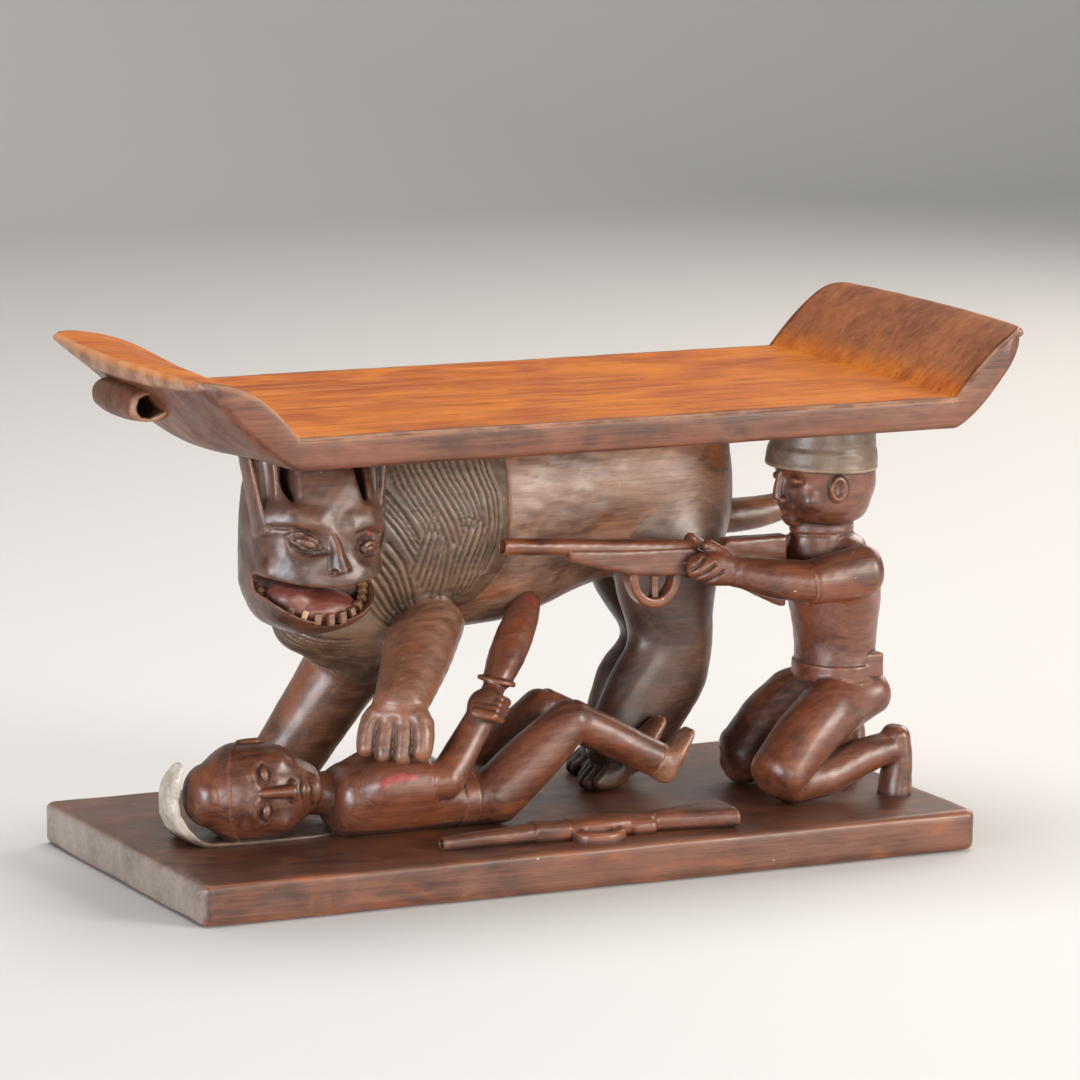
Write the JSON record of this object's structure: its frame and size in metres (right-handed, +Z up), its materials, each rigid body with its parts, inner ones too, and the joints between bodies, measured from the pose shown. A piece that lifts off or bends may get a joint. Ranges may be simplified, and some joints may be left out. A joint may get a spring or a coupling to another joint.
{
  "type": "figural stool",
  "caption": "Carved wooden stool: a curved seat with upturned ends is carried by a lion and a kneeling hunter with a rifle, above a fallen man on a slab plinth.",
  "frame": {"origin": "middle of the plinth's underside, on the ground", "axes": "+X along the stool towards the kneeling hunter's end, +Z up out of the seat; -Y is the front, where the fallen man and his rifle lie"},
  "size_m": [0.611, 0.262, 0.342],
  "materials": {
    "seat_wood": "semi-gloss, worn and polished by use",
    "plinth_wood": "satin, dark stain worn through at the edges",
    "lion_wood": "satin, dusty patina",
    "mane_wood": "matt, incised",
    "figure_wood": "satin, dark stain with worn orange high spots",
    "pale_wood": "matt, pale chalky wash",
    "red_paint": "matt red wash on wood",
    "tooth_wood": "matt, pale"
  },
  "bodies": {
    "root": {"dagger": "figure_wood", "fallen_arm_left": "figure_wood", "fallen_belt": "figure_wood", "fallen_forearm_right": "figure_wood", "fallen_hand_right": "figure_wood", "fallen_hat": "pale_wood", "fallen_head": "figure_wood", "fallen_hips": "figure_wood", "fallen_neck": "figure_wood", "fallen_shin_left": "figure_wood", "fallen_shin_right": "figure_wood", "fallen_shoe_left": "pale_wood", "fallen_shoe_right": "pale_wood", "fallen_sleeve_right": "figure_wood", "fallen_thigh_left": "figure_wood", "fallen_thigh_right": "figure_wood", "fallen_torso": "figure_wood", "ground_rifle_barrel": "figure_wood", "ground_rifle_stock": "figure_wood", "hunter_belt": "figure_wood", "hunter_cap": "pale_wood", "hunter_foot_left": "figure_wood", "hunter_foot_right": "figure_wood", "hunter_forearm_left": "figure_wood", "hunter_forearm_right": "figure_wood", "hunter_hand_left": "figure_wood", "hunter_hand_right": "figure_wood", "hunter_head": "figure_wood", "hunter_neck": "figure_wood", "hunter_shin_left": "figure_wood", "hunter_shin_right": "figure_wood", "hunter_sleeve_left": "figure_wood", "hunter_sleeve_right": "figure_wood", "hunter_thigh_left": "figure_wood", "hunter_thigh_right": "figure_wood", "hunter_torso": "figure_wood", "lion_body": "lion_wood", "lion_ear_left": "lion_wood", "lion_ear_right": "lion_wood", "lion_foreleg_left": "lion_wood", "lion_foreleg_right": "lion_wood", "lion_forepaw_left": "lion_wood", "lion_forepaw_right": "lion_wood", "lion_head": "lion_wood", "lion_hindleg_left": "lion_wood", "lion_hindleg_right": "lion_wood", "lion_hindpaw_left": "lion_wood", "lion_hindpaw_right": "lion_wood", "lion_jaw": "lion_wood", "lion_mane": "mane_wood", "lion_tail": "lion_wood", "lion_teeth": "tooth_wood", "lion_tongue": "red_paint", "plinth": "plinth_wood", "rifle_barrel": "figure_wood", "rifle_stock": "figure_wood", "rifle_trigger_guard": "figure_wood", "seat_board": "seat_wood", "seat_lug_left": "seat_wood", "seat_lug_right": "seat_wood"}
  },
  "joints": []
}
